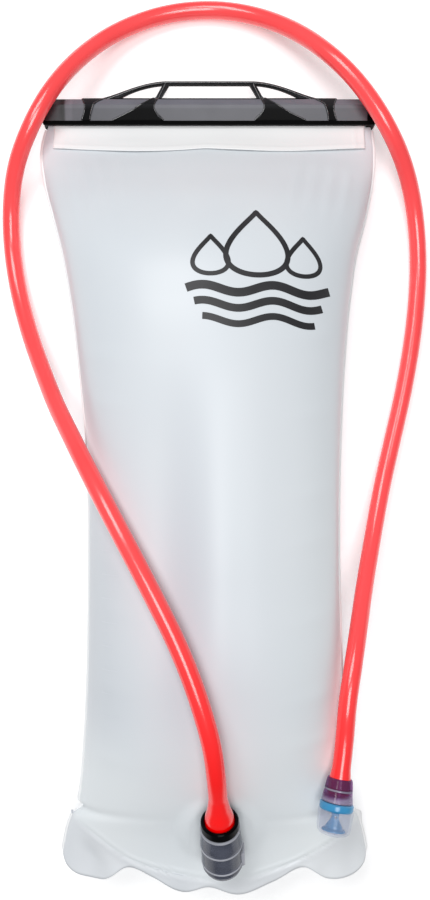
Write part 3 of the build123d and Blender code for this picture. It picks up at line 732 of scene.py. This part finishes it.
def side_seams(materials):
    """Flat welded margin along each side, where the two films meet, widening into an ear at the hem."""
    pieces = []
    rows = 260
    outline = [(-1.0, 0.30), (0.5, 0.34), (0.85, 0.22), (1.0, 0.0), (0.85, -0.22), (0.5, -0.34),
               (-1.0, -0.30)]
    for name, side in (("left_side_weld", -1), ("right_side_weld", 1)):
        vertices = []
        for y in np.linspace(WELD_TOP_Y, WELD_FOOT_Y, rows):
            edge = section_value("centre", y) + side * half_width(y)
            reach, growth = EARS[side]
            ear = reach + growth * (EAR_TOP - y) - side * edge
            grown = smoothstep(EAR_TOP + 1.5, EAR_TOP - 3.0, y) * smoothstep(-204.0, -197.0, y)
            wide = max(1.3 * smoothstep(-204.0, -200.0, y), ear * grown)
            for out, up in outline:
                ripple = 0.25 * noise.noise(Vector((side * 3.0, y / 9.0, 0.0)))
                place = edge + side * out * (wide if out > 0 else 1.0)
                vertices.append(Vector((place, y, section_value("seam", y) + up + ripple)) * MM)
        faces = grid_faces(rows, len(outline), closed=True)
        pieces.append(new_object(name, vertices, faces, materials["flap"]))
    return pieces


def surface_above(*objects):
    """Function that gives the height of the objects' upper surface over a point, in metres."""
    points, faces = [], []
    for thing in objects:
        first = len(points)
        points += [vertex.co.copy() for vertex in thing.data.vertices]
        faces += [tuple(first + corner for corner in face.vertices) for face in thing.data.polygons]
    tree = BVHTree.FromPolygons(points, faces)
    well_above = 0.3

    def height(x, y):
        hit = tree.ray_cast(Vector((x, y, well_above)), Vector((0, 0, -1)))[0]
        return hit.z if hit else 0.0

    return height


def flap(height, materials):
    """Lip folded forward: leaves the slide bar and hangs over the front, with a wavy lower edge."""
    edge = smooth_curve(FLAP_EDGE, 300)
    columns, rows = 180, 40
    vertices = []
    for row in range(rows):
        t = row / (rows - 1)
        for column in range(columns):
            x = -FLAP_HALF + 2 * FLAP_HALF * column / (columns - 1)
            low = float(np.interp(x, edge[:, 0], edge[:, 1]))
            y = LIP_INSIDE_Y + (low - LIP_INSIDE_Y) * t
            below = max(FLAP_START_Y - y, 0.0)
            z = max(height(x * MM, y * MM) / MM, FLAP_LOWEST)
            lift = 0.55 + 0.02 * below + 0.25 * math.sin(x / 9.0) * min(below / 10, 1)
            weld = 0.22 * math.exp(-(((y - low) - 2.2) / 0.6) ** 2)
            crease = sum(0.35 * math.exp(-((x - at) / 0.8) ** 2) for at in FLAP_CREASES)
            vertices.append(Vector((x, y, z + lift + weld + crease * min(below / 5, 1))) * MM)
    piece = new_object("fold_over_flap_sheet", vertices, grid_faces(rows, columns), materials["flap"])
    thicken(piece, FILM_THICKNESS)
    return piece


def ribbon(name, outline, half_width, height, material, closed=True, lift=0.00012):
    """Flat printed line that follows the film, along (x, y) points in millimetres."""
    points = np.array(outline, float) * MM
    count = len(points)
    across_steps = 4
    vertices = []
    for index in range(count):
        before = points[index - 1] if closed or index else points[index]
        after = points[(index + 1) % count] if closed or index < count - 1 else points[index]
        heading = after - before
        heading = heading / (np.linalg.norm(heading) + 1e-12)
        normal = np.array([-heading[1], heading[0]])
        for step in range(across_steps):
            offset = half_width * MM * (2 * step / (across_steps - 1) - 1)
            x, y = points[index] + normal * offset
            vertices.append(Vector((x, y, height(x, y) + lift)))
    faces = []
    for index in range(count if closed else count - 1):
        after = (index + 1) % count
        for step in range(across_steps - 1):
            faces.append((index * across_steps + step, index * across_steps + step + 1,
                          after * across_steps + step + 1, after * across_steps + step))
    return new_object(name, vertices, faces, material)


def drop_outline(centre_x, centre_y, size):
    """Pointed water drop, as (x, y) points."""
    points = []
    for step in range(72):
        angle = 2 * math.pi * step / 72
        wide = math.sin(angle) * math.sin(angle / 2) ** 1.4
        points.append((centre_x + 0.62 * size * wide, centre_y + size * 0.5 * math.cos(angle)))
    return points


def print_mark(height, materials):
    """Printed mark: a large drop between two small ones, over three waves."""
    pieces = []
    for name, place, half_line in PRINT_DROPS:
        pieces.append(ribbon(name, drop_outline(*place), half_line, height, materials["print"]))
    for row in range(3):
        wave = [(x, 93.5 - 7.8 * row + 2.0 * math.sin((x + 12.0) / 5.6))
                for x in np.linspace(-11.0 + 4 * row, 61.0 - 4 * row, 120)]
        pieces.append(ribbon(f"print_wave_{row + 1}", wave, 2.2 - 0.25 * row, height, materials["print"],
                             closed=False))
    return pieces


def fill_ticks(height, materials):
    """Fill-level ticks down the left of the front film."""
    pieces = []
    for row in range(TICKS):
        y = TICK_TOP_Y - TICK_SPACING * row
        length = TICK_LENGTHS[row % 2]
        tick = [(TICK_LEFT + length * t, y) for t in np.linspace(0, 1, 8)]
        pieces.append(ribbon(f"fill_tick_{row + 1}", tick, 0.3, height, materials["ticks"], closed=False))
    return pieces


# --- slide bar ------------------------------------------------------------------------------------
def bar_ribs(nodes, materials):
    """Thin raised ribs along the windows' edges and over the carry loop."""
    height = surface_above(nodes["slider_overmould"], nodes["slider_channel"])
    pieces = []
    for name, points in RIBS.items():
        for end, side in (("left", -1), ("right", 1)):
            line = []
            for x, up in smooth_curve(points, RIB_POINTS):
                x, y = side * x * MM, (BAR_FOOT_Y + up) * MM
                surface = height(x, y)
                if surface > 0:
                    line.append(Vector((x, y, surface + RIB_LIFT)))
            pieces.append(solid_rod(f"{name}_rib_{end}", line, RIB_RADIUS, materials["rib_black"]))
    return pieces


# --- port -----------------------------------------------------------------------------------------
def port_rings(materials):
    """Raised rings moulded round the port's barrel."""
    place = axis_place(PORT_FOOT, PORT_TOP)
    pieces = []
    for number, (radius, along) in enumerate(PORT_RINGS, 1):
        profile = [(radius - RING_SINK, along - 0.75), (radius + 0.05, along - 0.6),
                   (radius + 0.28, along - 0.2), (radius + 0.28, along + 0.2),
                   (radius + 0.05, along + 0.6), (radius - RING_SINK, along + 0.75)]
        pieces.append(lathe(f"port_ring_{number}", profile, place, materials["port_ring"]))
    return pieces


# --- bite valve -----------------------------------------------------------------------------------
def sleeve_rib(materials):
    """Rounded rib in the sleeve's groove, pale to stand in for the highlight line along the groove: a painted
    highlight.
    """
    place = axis_place(VALVE_TOP, VALVE_END)
    profile = [(6.85, 5.1), (7.15, 5.2), (7.25, 5.6), (7.15, 6.0), (6.85, 6.1)]
    return lathe("bite_valve_sleeve_rib", profile, place, materials["sleeve_rib"])


# --- stage ----------------------------------------------------------------------------------------
def add_camera():
    """Camera straight above the bag, as in the photograph."""
    camera = bpy.data.objects.new("camera", bpy.data.cameras.new("camera"))
    camera.data.sensor_width = SENSOR
    camera.data.lens = LENS
    camera.location = CAMERA_PLACE
    camera.data.clip_start = 0.01
    camera.data.clip_end = 20.0
    bpy.context.scene.collection.objects.link(camera)
    bpy.context.scene.camera = camera


def add_floor():
    """Plain pale floor."""
    size, drop = 4.0, 0.0002
    corners = [(-size, -size, -drop), (size, -size, -drop), (size, size, -drop), (-size, size, -drop)]
    material, tree, shader = principled("floor_white", (0.93, 0.93, 0.93), 0.7, Emission_Strength=0.25)
    shader.inputs["Emission Color"].default_value = (1, 1, 1, 1)
    bump(tree, shader, noise_field(tree, 40.0), 0.02, 0.0005)
    floor = new_object("floor", corners, [(0, 1, 2, 3)], material)


def add_light(name, place, target, size, power):
    """Rectangular softbox aimed at a point."""
    data = bpy.data.lights.new(name, "AREA")
    data.shape = "RECTANGLE"
    data.size, data.size_y = size
    data.energy = power
    lamp = bpy.data.objects.new(name, data)
    lamp.location = place
    direction = Vector(target) - Vector(place)
    lamp.rotation_euler = direction.to_track_quat("-Z", "Y").to_euler()
    bpy.context.scene.collection.objects.link(lamp)


def add_studio():
    """Two soft lights, one from beyond the slide bar and one from above, and a faint even surround."""
    add_light("key", (-0.35, 0.60, 1.15), (0, 0, 0), (0.7, 0.5), 7.5)
    add_light("top", (0.05, -0.10, 1.60), (0.05, -0.05, 0), (0.7, 0.7), 12.0)
    world = bpy.data.worlds.new("studio")
    world.use_nodes = True
    background = world.node_tree.nodes["Background"]
    background.inputs["Color"].default_value = (0.97, 0.98, 1.0, 1)
    background.inputs["Strength"].default_value = 0.25
    bpy.context.scene.world = world
    bpy.context.scene.view_settings.view_transform = "Standard"


# --- assembly -------------------------------------------------------------------------------------
CAD_FINISH = {
    "closure_rail_front": "rail", "closure_rail_back": "rail",
    "slider_channel": "grey_plastic", "slider_overmould": "soft_black", "slider_end_cap": "soft_black",
    "port_flange": "flange", "port_housing": "smoky_plastic", "port_end_cap": "smoky_plastic",
    "release_button": "button", "latch_plate": "spring_steel", "latch_spring": "spring_steel",
    "shutoff_poppet": "white_plastic", "poppet_seal": "seal_rubber", "poppet_spring": "spring_steel",
    "plug_body": "white_plastic", "plug_o_rings": "seal_rubber", "plug_collar": "collar",
    "bite_valve_sleeve": "clear_plastic", "bite_valve_barb": "barb",
    "bite_valve_o_ring": "seal_rubber", "bite_valve_core": "blue_plastic",
    "bite_valve_mouthpiece": "clear_silicone",
}
SOFT_EDGES = {"slider_channel": 0.0003, "slider_overmould": 0.0003, "slider_end_cap": 0.0008,
              "release_button": 0.0004, "port_end_cap": 0.0004, "bite_valve_core": 0.0002}


def finish_cad_nodes(nodes, materials):
    """Gives each CAD node that stays visible its material."""
    for name, finish in CAD_FINISH.items():
        mesh = nodes[name].data
        mesh.materials.clear()
        mesh.materials.append(materials[finish])
        for face in mesh.polygons:
            face.material_index = 0


def soften_edges(nodes):
    """Small radius on the moulded edges, so that they catch the light; widths in metres."""
    for name, width in SOFT_EDGES.items():
        weld = nodes[name].modifiers.new("weld", "WELD")
        weld.merge_threshold = 1e-6
        bevel = nodes[name].modifiers.new("edge_radius", "BEVEL")
        bevel.width = width
        bevel.segments = 3
        bevel.limit_method = "ANGLE"
        bevel.angle_limit = math.radians(25)
        bevel.harden_normals = True


def main():
    """Builds the visual model."""
    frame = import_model()
    add_camera()
    add_floor()
    add_studio()
    materials = make_materials()
    finish_cad_nodes(frame["nodes"], materials)
    soften_edges(frame["nodes"])

    tube, line = hose(materials["red_hose"])
    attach(tube, "hose")
    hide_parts("hose")

    front, back = bag_films(materials)
    height = surface_above(front)
    floor_wall = gusset(materials)
    folded = flap(height, materials)
    for piece, node in ((front, "front_film"), (back, "back_film"), (floor_wall, "bottom_gusset"),
                        (folded, "fold_over_flap")):
        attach(piece, "bag")
        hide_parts(node)
    for piece in side_seams(materials) + fill_ticks(height, materials):
        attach(piece, "bag")
    for piece in print_mark(height, materials) + port_rings(materials):
        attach(piece, "bag")
    for piece in bar_ribs(frame["nodes"], materials):
        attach(piece, "slider")
    rib = sleeve_rib(materials)
    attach(rib, "hose")


main()
